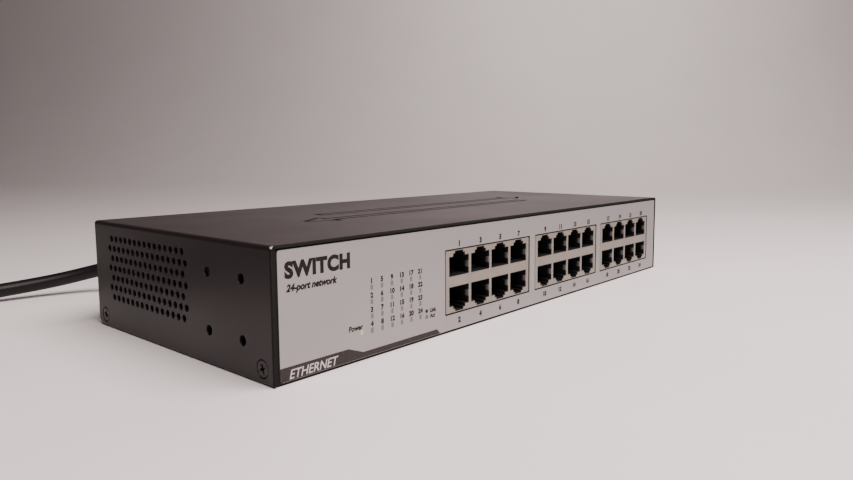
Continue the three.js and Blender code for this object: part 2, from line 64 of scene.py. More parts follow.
EYE = (-255.5, -231.7, 71.7)
YAW, PITCH, ROLL = 50.35, -5.82, -0.12  # degrees; yaw turns from +Y towards +X
LENS = 28.03  # on a sensor 36 mm wide
SHIFT = (-0.0386, -0.0226)


def make_camera():
    """A camera near the case's front left corner, a little above it."""
    yaw, pitch, roll = (math.radians(angle) for angle in (YAW, PITCH, ROLL))
    level = math.cos(pitch)
    forward = Vector((math.sin(yaw) * level, math.cos(yaw) * level, math.sin(pitch)))
    right = Vector((math.cos(yaw), -math.sin(yaw), 0))
    up = right.cross(forward)
    rolled_right = math.cos(roll) * right + math.sin(roll) * up
    rolled_up = math.cos(roll) * up - math.sin(roll) * right
    turn = Matrix((rolled_right, rolled_up, -forward)).transposed()
    data = bpy.data.cameras.new("camera")
    data.sensor_width = 36
    data.lens = LENS
    data.shift_x, data.shift_y = SHIFT
    data.clip_start = 0.01
    camera = bpy.data.objects.new("camera", data)
    camera.matrix_world = Matrix.Translation(Vector(EYE) * MM) @ turn.to_4x4()
    bpy.context.collection.objects.link(camera)
    bpy.context.scene.camera = camera


make_camera()

# ---------------------------------------------------------------- shaders


class Shader:
    """A material built round one Principled BSDF, with object coordinates in metres."""

    def __init__(self, name, color, roughness, **sockets):
        self.material = bpy.data.materials.new(name)
        self.material.use_nodes = True
        self.tree = self.material.node_tree
        self.bsdf = self.tree.nodes["Principled BSDF"]
        self.color = color
        self.set("Base Color", (*color, 1))
        self.set("Roughness", roughness)
        for socket, value in sockets.items():
            self.set(socket.replace("_", " "), value)
        self.place = self.add("ShaderNodeTexCoord").outputs["Object"]

    def set(self, socket, value):
        self.bsdf.inputs[socket].default_value = value

    def add(self, kind, inputs=None, **settings):
        node = self.tree.nodes.new(kind)
        for key, value in settings.items():
            setattr(node, key, value)
        for key, value in (inputs or {}).items():
            if isinstance(value, bpy.types.NodeSocket):
                self.tree.links.new(value, node.inputs[key])
            else:
                node.inputs[key].default_value = value
        return node

    def feed(self, socket, output):
        self.tree.links.new(output, self.bsdf.inputs[socket])

    def stretched(self, scale):
        node = self.add("ShaderNodeMapping", {"Vector": self.place, "Scale": scale})
        return node.outputs["Vector"]

    def noise(self, scale, detail=2, vector=None):
        inputs = {"Vector": vector or self.place, "Scale": scale, "Detail": detail}
        return self.add("ShaderNodeTexNoise", inputs).outputs["Fac"]

    def ramp(self, value, low, high, from_low=0.3, from_high=0.7):
        inputs = {
            "Value": value,
            "From Min": from_low,
            "From Max": from_high,
            "To Min": low,
            "To Max": high,
        }
        return self.add("ShaderNodeMapRange", inputs).outputs["Result"]

    def mix(self, factor, first, second):
        node = self.add("ShaderNodeMix", {"Factor": factor}, data_type="RGBA")
        for index, value in ((6, first), (7, second)):
            if isinstance(value, bpy.types.NodeSocket):
                self.tree.links.new(value, node.inputs[index])
            else:
                node.inputs[index].default_value = (*value, 1)
        return node.outputs[2]

    def math(self, operation, first, second=0.0):
        inputs = {0: first, 1: second}
        return self.add("ShaderNodeMath", inputs, operation=operation).outputs[0]

    def bump(self, height, distance, strength=1.0):
        inputs = {"Height": height, "Distance": distance * MM, "Strength": strength}
        self.feed("Normal", self.add("ShaderNodeBump", inputs).outputs["Normal"])

    def mottle(self, scale=60, spread=0.12, roughness=0.06):
        """Uneven colour and gloss, as handling and moulding leave them."""
        base = self.bsdf.inputs["Roughness"].default_value
        patches = self.noise(scale, 3)
        dark = tuple(c * (1 - spread) for c in self.color)
        light = tuple(min(1, c * (1 + spread)) for c in self.color)
        factor = self.ramp(patches, 0, 1)
        self.feed("Base Color", self.mix(factor, dark, light))
        smear = self.noise(scale * 0.6, 4)
        self.feed("Roughness", self.ramp(smear, base - roughness, base + roughness))
        return self


def powder_coat():
    """Satin black paint over steel: orange peel, dust, a chipped corner, and painted shade along the
    front edge and in the groove, where the paint is also made rougher.
    """
    shader = Shader("powder_coat", (0.016, 0.0105, 0.0112), 0.4, Specular_IOR_Level=0.32)
    low, high = node_box("top_cover")
    corner = Vector((low.x, low.y, high.z)) * MM
    fine = shader.noise(2600, 2)
    broad = shader.noise(9, 4)
    body = shader.mix(shader.ramp(fine, 0, 1), (0.012, 0.0078, 0.0084), (0.019, 0.0125, 0.0133))
    dust = shader.math("MULTIPLY", shader.ramp(broad, 0, 0.03), shader.ramp(fine, 0, 1))
    dusty = shader.mix(dust, body, (0.13, 0.115, 0.11))
    inputs = {0: shader.place, 1: corner}
    away = shader.add("ShaderNodeVectorMath", inputs, operation="DISTANCE").outputs["Value"]
    ragged = shader.math("ADD", away, shader.math("MULTIPLY", shader.noise(900, 3), 0.0016))
    chip = shader.ramp(ragged, 1, 0, 0.0015, 0.0019)
    axes = shader.add("ShaderNodeSeparateXYZ", {"Vector": shader.place}).outputs
    # Painted shade: the surfaces at the very front, the cover's front edge and the chassis front, are
    # darkened to stand in for the shadow in the gap round the overlay.
    front_gap_shade = shader.ramp(axes["Y"], 1, 0, (low.y + 0.55) * MM, (low.y + 1.1) * MM)
    sunk = shader.ramp(axes["Z"], 1, 0, (high.z - 0.4) * MM, (high.z - 0.1) * MM)
    # The groove's painted shade mask takes in the whole symbol and stops just under the top sheet.
    for axis, reach in (("X", 120), ("Y", 40)):
        near = shader.math("LESS_THAN", shader.math("ABSOLUTE", axes[axis]), reach * MM)
        sunk = shader.math("MULTIPLY", sunk, near)
    upper = shader.math("GREATER_THAN", axes["Z"], (high.z - 3) * MM)
    painted_shade_and_matt = shader.math("MAXIMUM", front_gap_shade, shader.math("MULTIPLY", sunk, upper))
    # Painted shade: near-black colour where the front-edge and groove masks fall.
    with_painted_shade = shader.mix(painted_shade_and_matt, dusty, (0.003, 0.002, 0.0022))
    shader.feed("Base Color", shader.mix(chip, with_painted_shade, (0.62, 0.60, 0.57)))
    gloss = shader.ramp(shader.noise(14, 5), 0.36, 0.44)
    shader.feed("Roughness", shader.math("ADD", gloss, shader.math("MULTIPLY", painted_shade_and_matt, 0.4)))
    shader.bump(shader.noise(1700, 2), 0.035, 0.5)
    return shader.material


def silver_overlay():
    """Satin silver-grey ink on polyester film, with a metallic fleck."""
    shader = Shader("silver_overlay", (0.37, 0.355, 0.352), 0.46, Metallic=0.6)
    fleck = shader.noise(3800, 2)
    cloud = shader.noise(16, 3)
    light = shader.mix(shader.ramp(fleck, 0, 1), (0.35, 0.335, 0.332), (0.40, 0.385, 0.38))
    shader.feed("Base Color", shader.mix(shader.ramp(cloud, 0, 0.35), light, (0.345, 0.33, 0.33)))
    shader.feed("Roughness", shader.ramp(cloud, 0.42, 0.52))
    shader.bump(shader.noise(3000, 2), 0.01, 0.4)
    return shader.material


def dull_nickel():
    """Plated sheet with rolling marks along it and a warm cast, with painted shade inside the sockets.
    """
    shader = Shader("dull_nickel", (0.30, 0.27, 0.235), 0.42, Metallic=0.6)
    low, _ = node_box("port_shield_1")
    rolling = shader.noise(500, 3, shader.stretched((1, 12, 12)))
    face = shader.mix(shader.ramp(rolling, 0, 1), (0.27, 0.243, 0.21), (0.325, 0.293, 0.255))
    axes = shader.add("ShaderNodeSeparateXYZ", {"Vector": shader.place}).outputs
    # Painted shade: the shield's colour darkens towards the inside of the sockets.
    depth = shader.ramp(axes["Y"], 0, 1, (low.y + 0.2) * MM, (low.y + 0.5) * MM)
    shader.feed("Base Color", shader.mix(depth, face, (0.085, 0.085, 0.09)))
    shader.feed("Roughness", shader.ramp(shader.noise(120, 3), 0.34, 0.48))
    shader.bump(rolling, 0.012, 0.5)
    return shader.material


def moulded(name, color, roughness, grain=900, depth=0.03, specular=0.5):
    """Injection-moulded plastic with a spark-eroded grain."""
    shader = Shader(name, color, roughness, Specular_IOR_Level=specular)
    shader.mottle(40, 0.15, 0.05)
    shader.bump(shader.noise(grain, 3), depth, 0.6)
    return shader.material


def bright_metal(name, color, roughness, across=(1, 1, 10)):
    """Plain or plated metal with drawing marks."""
    shader = Shader(name, color, roughness, Metallic=1.0)
    marks = shader.noise(700, 3, shader.stretched(across))
    dark = tuple(c * 0.82 for c in color)
    shader.feed("Base Color", shader.mix(shader.ramp(marks, 0, 1), dark, color))
    shader.feed("Roughness", shader.ramp(shader.noise(150, 3), roughness - 0.07, roughness + 0.1))
    shader.bump(marks, 0.01, 0.4)
    return shader.material


def black_zinc():
    """Blackened screw, rubbed bright where the driver and the thumb touch it."""
    shader = Shader("black_zinc", (0.04, 0.036, 0.036), 0.4, Metallic=0.8)
    rubbed = shader.ramp(shader.noise(1500, 4), 0, 1, 0.42, 0.85)
    shader.feed("Base Color", shader.mix(rubbed, (0.03, 0.026, 0.027), (0.11, 0.10, 0.097)))
    shader.feed("Roughness", shader.ramp(shader.noise(800, 3), 0.32, 0.5))
    shader.bump(shader.noise(1200, 3), 0.02, 0.5)
    return shader.material


def ink(name, color):
    """Screen-printed ink: a slightly uneven film."""
    shader = Shader(name, color, 0.55, Specular_IOR_Level=0.15)
    thin = tuple(c * 1.25 + 0.008 for c in color)
    patches = shader.ramp(shader.noise(1400, 3), 0, 1, 0.4, 0.8)
    shader.feed("Base Color", shader.mix(patches, color, thin))
    shader.feed("Roughness", shader.ramp(shader.noise(900, 2), 0.44, 0.56))
    shader.bump(shader.noise(2500, 2), 0.006, 0.5)
    return shader.material


def light_window(name, color, glow=0.0):
    """Diffusing light pipe seen through the overlay's clear window."""
    shader = Shader(name, color, 0.35).mottle(500, 0.1, 0.05)
    shader.set("Transmission Weight", 0.15)
    shader.bump(shader.noise(1800, 2), 0.01, 0.5)
    if glow:
        shader.set("Emission Color", (0.75, 1.0, 0.16, 1))
        shader.set("Emission Strength", glow)
    return shader.material


def circuit_board():
    """Green solder mask with copper tracks showing as paler lines under it."""
    shader = Shader("circuit_board", (0.012, 0.10, 0.032), 0.35)
    inputs = {"Vector": shader.stretched((1, 1, 0)), "Scale": 260}
    cells = shader.add("ShaderNodeTexBrick", inputs, offset=0.5)
    for part, level in (("Color1", 0), ("Color2", 0.25), ("Mortar", 1)):
        cells.inputs[part].default_value = (level, level, level, 1)
    cells.inputs["Mortar Size"].default_value = 0.08
    tracks = cells.outputs["Color"]
    grey = shader.add("ShaderNodeRGBToBW", {"Color": tracks}).outputs["Val"]
    shader.feed("Base Color", shader.mix(grey, (0.010, 0.085, 0.028), (0.03, 0.20, 0.07)))
    shader.feed("Roughness", shader.ramp(shader.noise(200, 2), 0.28, 0.42))
    shader.bump(grey, 0.03, 0.6)
    return shader.material


def cord_jacket():
    """Satin black flexible PVC with a faint extrusion texture and some dust."""
    shader = Shader("cord_jacket", (0.008, 0.0066, 0.0073), 0.38, Specular_IOR_Level=0.22)
    dust = shader.ramp(shader.noise(90, 4), 0, 0.3, 0.45, 0.8)
    speck = shader.math("MULTIPLY", dust, shader.ramp(shader.noise(2500, 2), 0, 1, 0.4, 0.7))
    shader.feed("Base Color", shader.mix(speck, (0.008, 0.0066, 0.0073), (0.06, 0.054, 0.054)))
    shader.feed("Roughness", shader.ramp(shader.noise(60, 4), 0.34, 0.46))
    shader.bump(shader.noise(1300, 3), 0.03, 0.5)
    return shader.material


def woven_strap():
    """Hook-and-loop strap: rows of small loops, with painted shade between them."""
    shader = Shader("woven_strap", (0.02, 0.02, 0.022), 0.85)
    inputs = {"Vector": shader.place, "Scale": 1400}
    loops = shader.add("ShaderNodeTexVoronoi", inputs).outputs["Distance"]
    # Painted shade: darker in the gaps between the loops than on their tops.
    depth = shader.ramp(loops, 0, 1, 0.1, 0.7)
    shader.feed("Base Color", shader.mix(depth, (0.045, 0.045, 0.05), (0.01, 0.01, 0.011)))
    shader.set("Sheen Weight", 0.3)
    shader.bump(loops, 0.25, 0.8)
    return shader.material


def floor_paint(name, color, roughness):
    """Pale stage surface with a barely visible unevenness."""
    return Shader(name, color, roughness).mottle(7, 0.015, 0.04).material


PAINT = powder_coat()
SILVER = silver_overlay()
NICKEL = dull_nickel()
BLACK_PLASTIC = moulded("black_plastic", (0.009, 0.0085, 0.0085), 0.5, specular=0.25)
GOLD = bright_metal("gold_contact", (0.83, 0.60, 0.22), 0.28)
STEEL = bright_metal("plated_steel", (0.55, 0.54, 0.52), 0.3)
ALUMINIUM = bright_metal("plain_aluminium", (0.72, 0.73, 0.74), 0.38)
SCREW = black_zinc()
# Painted shade: the bracket holes' tapped collars are near black with little gloss, standing in for the
# shade inside the holes.
THREAD_SHADE = moulded("thread_painted_shade", (0.005, 0.004, 0.004), 0.65, 600, 0.02, 0.12)
DARK_INK = ink("dark_ink", (0.010, 0.007, 0.007))
STRIP_INK = ink("strip_ink", (0.034, 0.027, 0.026))
PALE_INK = ink("pale_ink", (0.52, 0.50, 0.49))
WINDOW = light_window("light_window", (0.17, 0.162, 0.16))
LIT_WINDOW = light_window("lit_window", (0.52, 0.56, 0.27), 0.18)
BOARD = circuit_board()
CHIP = moulded("chip_epoxy", (0.02, 0.02, 0.021), 0.6)
TAPE = moulded("winding_tape", (0.42, 0.27, 0.04), 0.45, 300, 0.08)
SLEEVE = moulded("blue_sleeve", (0.02, 0.035, 0.09), 0.3, 200, 0.01)
FUSE = moulded("fuse_tube", (0.68, 0.72, 0.72), 0.15, 400, 0.01)
CLEAR = moulded("insulating_film", (0.62, 0.60, 0.54), 0.3, 200, 0.01)
WIRE = moulded("red_wire", (0.33, 0.03, 0.02), 0.4, 400, 0.01)
JACKET = cord_jacket()
STRAP = woven_strap()

# ---------------------------------------------------------------- mesh work

AXES = {
    "x": Matrix(((0, 0, 1), (1, 0, 0), (0, 1, 0))).to_4x4(),
    "y": Matrix(((1, 0, 0), (0, 0, 1), (0, 1, 0))).to_4x4(),
    "z": Matrix.Identity(4),
}


def rectangle(a0, b0, a1, b1):
    return [(a0, b0), (a1, b0), (a1, b1), (a0, b1)]


def centred(a, b, width, height):
    return rectangle(a - width / 2, b - height / 2, a + width / 2, b + height / 2)


def circle(a, b, radius, sides=24):
    turns = [2 * math.pi * i / sides for i in range(sides)]
    return [(a + radius * math.cos(t), b + radius * math.sin(t)) for t in turns]


def rounded(a0, b0, a1, b1, radius, steps=5):
    """A rectangle with quarter-circle corners, counter-clockwise."""
    points = []
    centres = [
        (a1 - radius, b0 + radius, -90),
        (a1 - radius, b1 - radius, 0),
        (a0 + radius, b1 - radius, 90),
        (a0 + radius, b0 + radius, 180),
    ]
    for a, b, start in centres:
        for i in range(steps + 1):
            angle = math.radians(start + 90 * i / steps)
            points.append((a + radius * math.cos(angle), b + radius * math.sin(angle)))
    return points


def smoothstep(t):
    t = min(1, max(0, t))
    return t * t * (3 - 2 * t)


class Piece:
    """A mesh under construction, in millimetres. Outlines lie across an axis."""

    def __init__(self):
        self.bm = bmesh.new()

    def take(self, mesh, matrix):
        """Adds a mesh, placed by the matrix."""
        before = len(self.bm.verts)
        self.bm.from_mesh(mesh)
        bpy.data.meshes.remove(mesh)
        self.bm.verts.ensure_lookup_table()
        bmesh.ops.transform(self.bm, matrix=matrix, verts=self.bm.verts[before:])

    def plate(self, axis, outlines, low, high, bevel=0.1, segments=1):
        """A sheet between two heights on an axis. Outlines inside others are holes."""
        curve = bpy.data.curves.new("outline", "CURVE")
        curve.dimensions = "2D"
        curve.fill_mode = "BOTH"
        curve.extrude = (high - low) / 2 - bevel
        curve.bevel_depth = bevel
        curve.bevel_resolution = segments
        curve.offset = -bevel
        for points in outlines:
            spline = curve.splines.new("POLY")
            spline.points.add(len(points) - 1)
            spline.use_cyclic_u = True
            for target, (a, b) in zip(spline.points, points):
                target.co = (a, b, 0, 1)
        mesh = as_mesh(curve)
        shift = Matrix.Translation((0, 0, (low + high) / 2))
        self.take(mesh, AXES[axis] @ shift)

    def block(self, low, high, bevel):
        """A box with its edges cut off."""
        low, high = Vector(low), Vector(high)
        size = high - low
        matrix = Matrix.Translation((low + high) / 2) @ Matrix.Diagonal((*size, 1))
        made = bmesh.ops.create_cube(self.bm, size=1, matrix=matrix)
        edges = list({edge for vert in made["verts"] for edge in vert.link_edges})
        bmesh.ops.bevel(self.bm, geom=edges, offset=bevel, segments=1, affect="EDGES", profile=0.5)

    def rings(self, rings, closed=False):
        """Faces through rings of points that all have the same count. Open ends are capped."""
        made = [[self.bm.verts.new(point) for point in ring] for ring in rings]
        pairs = list(zip(made, made[1:]))
        if closed:
            pairs.append((made[-1], made[0]))
        for first, second in pairs:
            count = len(first)
            for i in range(count):
                j = (i + 1) % count
                self.bm.faces.new((first[i], first[j], second[j], second[i]))
        if not closed:
            self.bm.faces.new(made[0][::-1])
            self.bm.faces.new(made[-1])

    def lathe(self, profile, matrix, sides=32):
        """Turns (radius, height) points about Z, then places the result."""
        rings = []
        for radius, height in profile:
            ring = [(a, b, height) for a, b in circle(0, 0, radius, sides)]
            rings.append([matrix @ Vector(point) for point in ring])
        self.rings(rings)

    def tube(self, path, radius, sides=8):
        """A round bar along points."""
        path = [Vector(point) for point in path]
        rings = []
        normal = None
        for i, point in enumerate(path):
            ahead = path[min(i + 1, len(path) - 1)] - path[max(i - 1, 0)]
            ahead.normalize()
            if normal is None:
                normal = ahead.orthogonal().normalized()
            normal = (normal - ahead * normal.dot(ahead)).normalized()
            side = ahead.cross(normal)
            rings.append([point + radius * (a * normal + b * side) for a, b in circle(0, 0, 1, sides)])
        self.rings(rings)

    def lettering(self, text, place, height, width=None, weight=0.0, slant=0.0, spacing=1.0):
        """Flat letters on the front, standing on place = (x, z, y)."""
        curve = bpy.data.curves.new("lettering", "FONT")
        curve.body = text
        curve.align_x = "CENTER"
        curve.space_character = spacing
        curve.offset = weight
        curve.shear = slant
        curve.resolution_u = 4
        mesh = as_mesh(curve)
        xs = [vert.co.x for vert in mesh.vertices]
        tall = max(vert.co.y for vert in mesh.vertices)
        scale = height / tall
        across = scale if width is None else width / (max(xs) - min(xs))
        fit = Matrix.Diagonal((across, scale, 1, 1))
        x, z, y = place
        self.take(mesh, Matrix.Translation((x, y, z)) @ AXES["y"] @ fit)

    def finish(self, name, material, body, replaces=(), angle=35):
        """Makes the object in metres, rides it on its body and gives it its finish."""
        bmesh.ops.remove_doubles(self.bm, verts=self.bm.verts, dist=1e-4)
        bmesh.ops.recalc_face_normals(self.bm, faces=self.bm.faces)
        bmesh.ops.scale(self.bm, vec=(MM, MM, MM), verts=self.bm.verts)
        mesh = bpy.data.meshes.new(name)
        self.bm.to_mesh(mesh)
        self.bm.free()
        mesh.shade_smooth()
        mesh.set_sharp_from_angle(angle=math.radians(angle))
        mesh.materials.append(material)
        piece = bpy.data.objects.new(name, mesh)
        bpy.context.collection.objects.link(piece)
        flatten = piece.modifiers.new("flat_faces", "WEIGHTED_NORMAL")
        flatten.keep_sharp = True
        flatten.weight = 100
        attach(piece, body)
        if replaces:
            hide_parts(*replaces)
        return piece


def as_mesh(curve):
    """The filled mesh of a curve or lettering."""
    holder = bpy.data.objects.new("holder", curve)
    bpy.context.collection.objects.link(holder)
    bpy.context.view_layer.update()
    graph = bpy.context.evaluated_depsgraph_get()
    mesh = bpy.data.meshes.new_from_object(holder.evaluated_get(graph))
    bpy.data.objects.remove(holder)
    bpy.data.curves.remove(curve)
    return mesh


# ---------------------------------------------------------------- mains lead

CORD_RADIUS = 3.4
COIL = {"x": -228, "y": 98.7, "inner": 28.3, "pitch": 7.0, "low": 4.2, "high": 11.1}
TAIL_ANGLE = math.radians(205)
TAIL_LENGTH = 38
COIL_START = math.radians(90)
LAYER_TURNS = 3
COIL_TURNS = 2 * LAYER_TURNS + (TAIL_ANGLE - COIL_START) / (2 * math.pi)
POINTS_PER_TURN = 36
PLUG_HEIGHT = 12.4

# The cord from the strain relief to the coil, laid along the table.
RUN = [
    (-100, 103.3, 18.8),
    (-100.5, 110.3, 17.7),
    (-102.7, 117.4, 16),
    (-106.6, 123.8, 14),
    (-111.8, 129.1, 12),
    (-118.1, 133.3, 10.3),
    (-124.8, 136.5, 8.8),
    (-131.9, 139.1, 7.6),
    (-139.1, 141.2, 6.7),
    (-148.9, 143.2, 5.8),
    (-160.7, 144.9, 5),
    (-173.7, 146.1, 4.4),
    (-186.7, 146.9, 4),
    (-199.7, 147.4, 3.8),
    (-212.7, 147.8, 3.9),
]


def coil_radius(turns):
    """From the outside in and back out, with a soft turn-round at the innermost turn."""
    return COIL["inner"] + COIL["pitch"] * math.hypot(turns - LAYER_TURNS, 0.09)


def coil_points():
    """Turns that wind in on the lower layer and back out on the upper one."""
    points = []
    count = round(COIL_TURNS * POINTS_PER_TURN)
    for i in range(count + 1):
        turns = COIL_TURNS * i / count
        angle = COIL_START + 2 * math.pi * turns
        radius = coil_radius(turns)
        rise = smoothstep((turns - LAYER_TURNS) / 0.34 + 0.5)
        height = COIL["low"] + (COIL["high"] - COIL["low"]) * rise
        x = COIL["x"] + radius * math.cos(angle)
        y = COIL["y"] + radius * math.sin(angle)
        points.append((x, y, height))
    return points


def tail_points():
    """The cord from the coil to the plug."""
    step = Vector((-math.sin(TAIL_ANGLE), math.cos(TAIL_ANGLE), 0)) * TAIL_LENGTH / 4
    outward = Vector((math.cos(TAIL_ANGLE), math.sin(TAIL_ANGLE), 0))
    start = Vector((COIL["x"], COIL["y"], 0)) + outward * coil_radius(COIL_TURNS)
    heights = (11.2, 11.5, 12, PLUG_HEIGHT)
    return [tuple(start + step * (i + 1) + Vector((0, 0, z))) for i, z in enumerate(heights)]


def catmull(points, steps):
    """Extra points on a smooth curve through the given ones."""
    points = [Vector(p) for p in points]
    ends = [2 * points[0] - points[1], *points, 2 * points[-1] - points[-2]]
    fine = []
    for a, b, c, d in zip(ends, ends[1:], ends[2:], ends[3:]):
        for i in range(steps):
            t = i / steps
            bend = (2 * a - 5 * b + 4 * c - d) * t**2 + (3 * b - a - 3 * c + d) * t**3
            fine.append(b + ((c - a) * t + bend) / 2)
    fine.append(points[-1])
    return fine


def path_length(points):
    return sum((Vector(b) - Vector(a)).length for a, b in zip(points, points[1:]))


def soft_ring(y, width, height, radius, steps=4):
    """A rounded rectangle across y, counter-clockwise seen from the front."""
    radius = min(radius, width / 2 - 0.01, height / 2 - 0.01)
    outline = rounded(-width / 2, -height / 2, width / 2, height / 2, radius, steps)
    return [(a, y, b) for a, b in outline]


PINS = [(7, -2), (-7, -2), (0, 2)]
NOSE = {"width": 23.8, "height": 15.6, "bevel": 4.5, "length": 15.8}
RELIEF_END = 40


def nose_outline():
    """The connector's nose seen along y: a rectangle with its two upper corners cut off."""
    w = NOSE["width"] / 2
    h = NOSE["height"] / 2
    b = NOSE["bevel"]
    return [(-w, -h), (w, -h), (w, h - b), (w - b, h), (b - w, h), (-w, h - b)]


def ribbed(start, end, wide, narrow, count):
    """Rings of a tapering strain relief with grooves between its ribs."""
    rings = []
    pitch = (end - start) / count
    for i in range(count):
        size = wide + (narrow - wide) * i / (count - 1)
        y = start + i * pitch
        groove = size - 2.6
        rings.append(soft_ring(y, size, size, size / 2))
        rings.append(soft_ring(y + pitch * 0.62, size - 0.3, size - 0.3, size / 2))
        rings.append(soft_ring(y + pitch * 0.68, groove, groove, groove / 2))
        rings.append(soft_ring(y + pitch * 0.96, groove, groove, groove / 2))
    return rings[:-2]


def sleeve(*steps):
    """Round rings, each given as its place along y and its diameter."""
    return [soft_ring(y, size, size, size / 2) for y, size in steps]


def ridge(y, half, ends, middle):
    """A small raised bar up the side of a grip, taller in its middle."""
    steps = ((-half, ends), (0, middle), (half, ends))
    return [soft_ring(y + dy, 0.9, tall, 0.4, 2) for dy, tall in steps]


def place_rings(rings, matrix):
    return [[matrix @ Vector(point) for point in ring] for ring in rings]


def make_connector():
    """The lead's rear connector: nose with pin slots, grip with ridges, strain relief."""
    low, high = node_box("inlet_body")
    origin = Matrix.Translation(((low.x + high.x) / 2, high.y, (low.z + high.z) / 2))
    piece = Piece()
    slots = [centred(x, z, 2.8, 4.8) for x, z in PINS]
    piece.plate("y", [nose_outline(), *slots], -NOSE["length"], -0.2, 0.4, 2)
    bmesh.ops.transform(piece.bm, matrix=origin, verts=piece.bm.verts)
    grip = [
        soft_ring(0.35, 26.4, 18.4, 3),
        soft_ring(0.9, 27.6, 19.6, 3.6),
        soft_ring(3, 28, 20, 4),
        soft_ring(12.6, 27.4, 19.4, 4.6),
        soft_ring(15.5, 25.4, 18.2, 5.5),
        soft_ring(17.6, 20.6, 16, 6.2),
        soft_ring(19, 15.8, 13.8, 6.4),
        soft_ring(19.8, 12.9, 12.5, 6),
    ]
    relief = ribbed(20.2, RELIEF_END, 12.2, 8.6, 7)
    end = sleeve((RELIEF_END, 8), (RELIEF_END + 2, 7.3))
    piece.rings(place_rings(grip + relief + end, origin))
    for side in (-1, 1):
        shift = origin @ Matrix.Translation((side * 13.7, 0, 0))
        for i in range(6):
            piece.rings(place_rings(ridge(4.2 + 1.7 * i, 0.45, 9, 11), shift))
    return piece.finish("connector_moulding", JACKET, LEAD, ["lead_connector"])


def plug_frame():
    """The plug's place: its own y runs on from the end of the cord."""
    end = Vector(tail_points()[-1])
    return Matrix.Translation(end) @ Matrix.Rotation(TAIL_ANGLE, 4, "Z")


def make_plug():
    """The wall plug: ribbed strain relief, waisted grip and flat face."""
    start = sleeve((-1.6, 7.3), (0.3, 8))
    relief = ribbed(0.4, 20, 9.2, 13, 8)
    body = [
        soft_ring(20.6, 13.4, 13.4, 6.4),
        soft_ring(22.8, 17, 16, 7),
        soft_ring(26, 21.6, 19.4, 7.6),
        soft_ring(32, 25, 23, 8),
        soft_ring(40, 25.6, 22.6, 8),
        soft_ring(46, 26.6, 23.6, 8),
        soft_ring(50.4, 27, 24, 8),
        soft_ring(51.6, 26.4, 23.4, 7.4),
        soft_ring(52, 25, 22, 6.6),
    ]
    piece = Piece()
    piece.rings(place_rings(start + relief + body, plug_frame()))
    for side in (-1, 1):
        shift = plug_frame() @ Matrix.Translation((side * 12.8, 0, 0))
        for i in range(5):
            piece.rings(place_rings(ridge(34 + 2.2 * i, 0.55, 8, 10), shift))
    return piece.finish("plug_moulding", JACKET, LEAD, ["plug_body"])


def make_tie():
    """A strap round the bundle, with its free end lying back on itself."""
    low, high = node_box("coil_tie")
    clear = 0.15
    outer = rounded(low.x + clear, low.z + clear, high.x - clear, high.z - clear, 3.2, 6)
    inner = rounded(low.x + 0.75, low.z + 0.75, high.x - 0.75, high.z - 0.75, 2.7, 6)
    piece = Piece()
    piece.plate("y", [outer, inner], low.y, high.y, 0.12)
    end = [
        (low.x + 6, high.z - clear + 0.05),
        (high.x - 5, high.z - clear + 0.05),
        (high.x - 4.6, high.z + 0.35),
        (high.x - 5, high.z + 0.75),
        (low.x + 6, high.z + 0.75),
    ]
    piece.plate("y", [end], low.y + 0.4, high.y - 0.4, 0.12)
    return piece.finish("strap", STRAP, LEAD, ["coil_tie"])


def make_cord():
    """One continuous cord: along the table, round the coil and out to the plug."""
    points = catmull([*RUN, *coil_points(), *tail_points()], 3)
    data = bpy.data.curves.new("power_cord", "CURVE")
    data.dimensions = "3D"
    data.bevel_depth = CORD_RADIUS * MM
    data.bevel_resolution = 5
    data.use_fill_caps = True
    spline = data.splines.new("POLY")
    spline.points.add(len(points) - 1)
    for target, point in zip(spline.points, points):
        target.co = (*(Vector(point) * MM), 1)
    data.materials.append(JACKET)
    spline.use_smooth = True
    cord = bpy.data.objects.new("power_cord", data)
    bpy.context.collection.objects.link(cord)
    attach(cord, LEAD)
    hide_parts("lead_cord", "lead_coil", "lead_tail")
    return cord, path_length(points) * MM


def make_lead():
    """The whole mains lead: one cord with what is on it."""
    connector = make_connector()
    cord, length = make_cord()
    plug = make_plug()
    tie = make_tie()
    print(f"cord length {length:.3f} m")


make_lead()

# ---------------------------------------------------------------- case

SHEET = 1.0
SIDE = 140  # from the middle to the outside of either side
EDGE = 0.12  # the soft edge of the cover's sheet
FOLD = 1.3  # outer radius of the cover's folds
VENT = {"pitch": 4.0, "radius": 1.3, "rows": 7, "long": 16, "y": 19.0, "z": 25.5}
BRACKET = {"y": -35.7, "z": 22.2, "spacing": 20.2, "radius": 1.8}
SCREWS = [(-56.2, 4.9), (56.2, 4.9)]
SCREW_RADIUS = 2.9
CORNER_CUT = 2.2


def side_holes():
    """Outlines of a side's vent holes, bracket holes and screw seats, as (y, z) points."""
    holes = []
    for row in range(VENT["rows"]):
        count = VENT["long"] - 1 if row % 2 == 0 else VENT["long"]
        z = VENT["z"] + (row - (VENT["rows"] - 1) / 2) * VENT["pitch"]
        for i in range(count):
            y = VENT["y"] + (i - (count - 1) / 2) * VENT["pitch"]
            holes.append(circle(y, z, VENT["radius"], 20))
    half = BRACKET["spacing"] / 2
    for y, z in rectangle(-half, -half, half, half):
        holes.append(circle(BRACKET["y"] + y, BRACKET["z"] + z, BRACKET["radius"], 24))
    for y, z in SCREWS:
        holes.append(circle(y, z, SCREW_RADIUS + 0.25, 32))
    return holes


BLUNT = 1.3  # half the width of an arrow's cut-off point
BARB = 2.5  # what is cut off along both edges of a barb


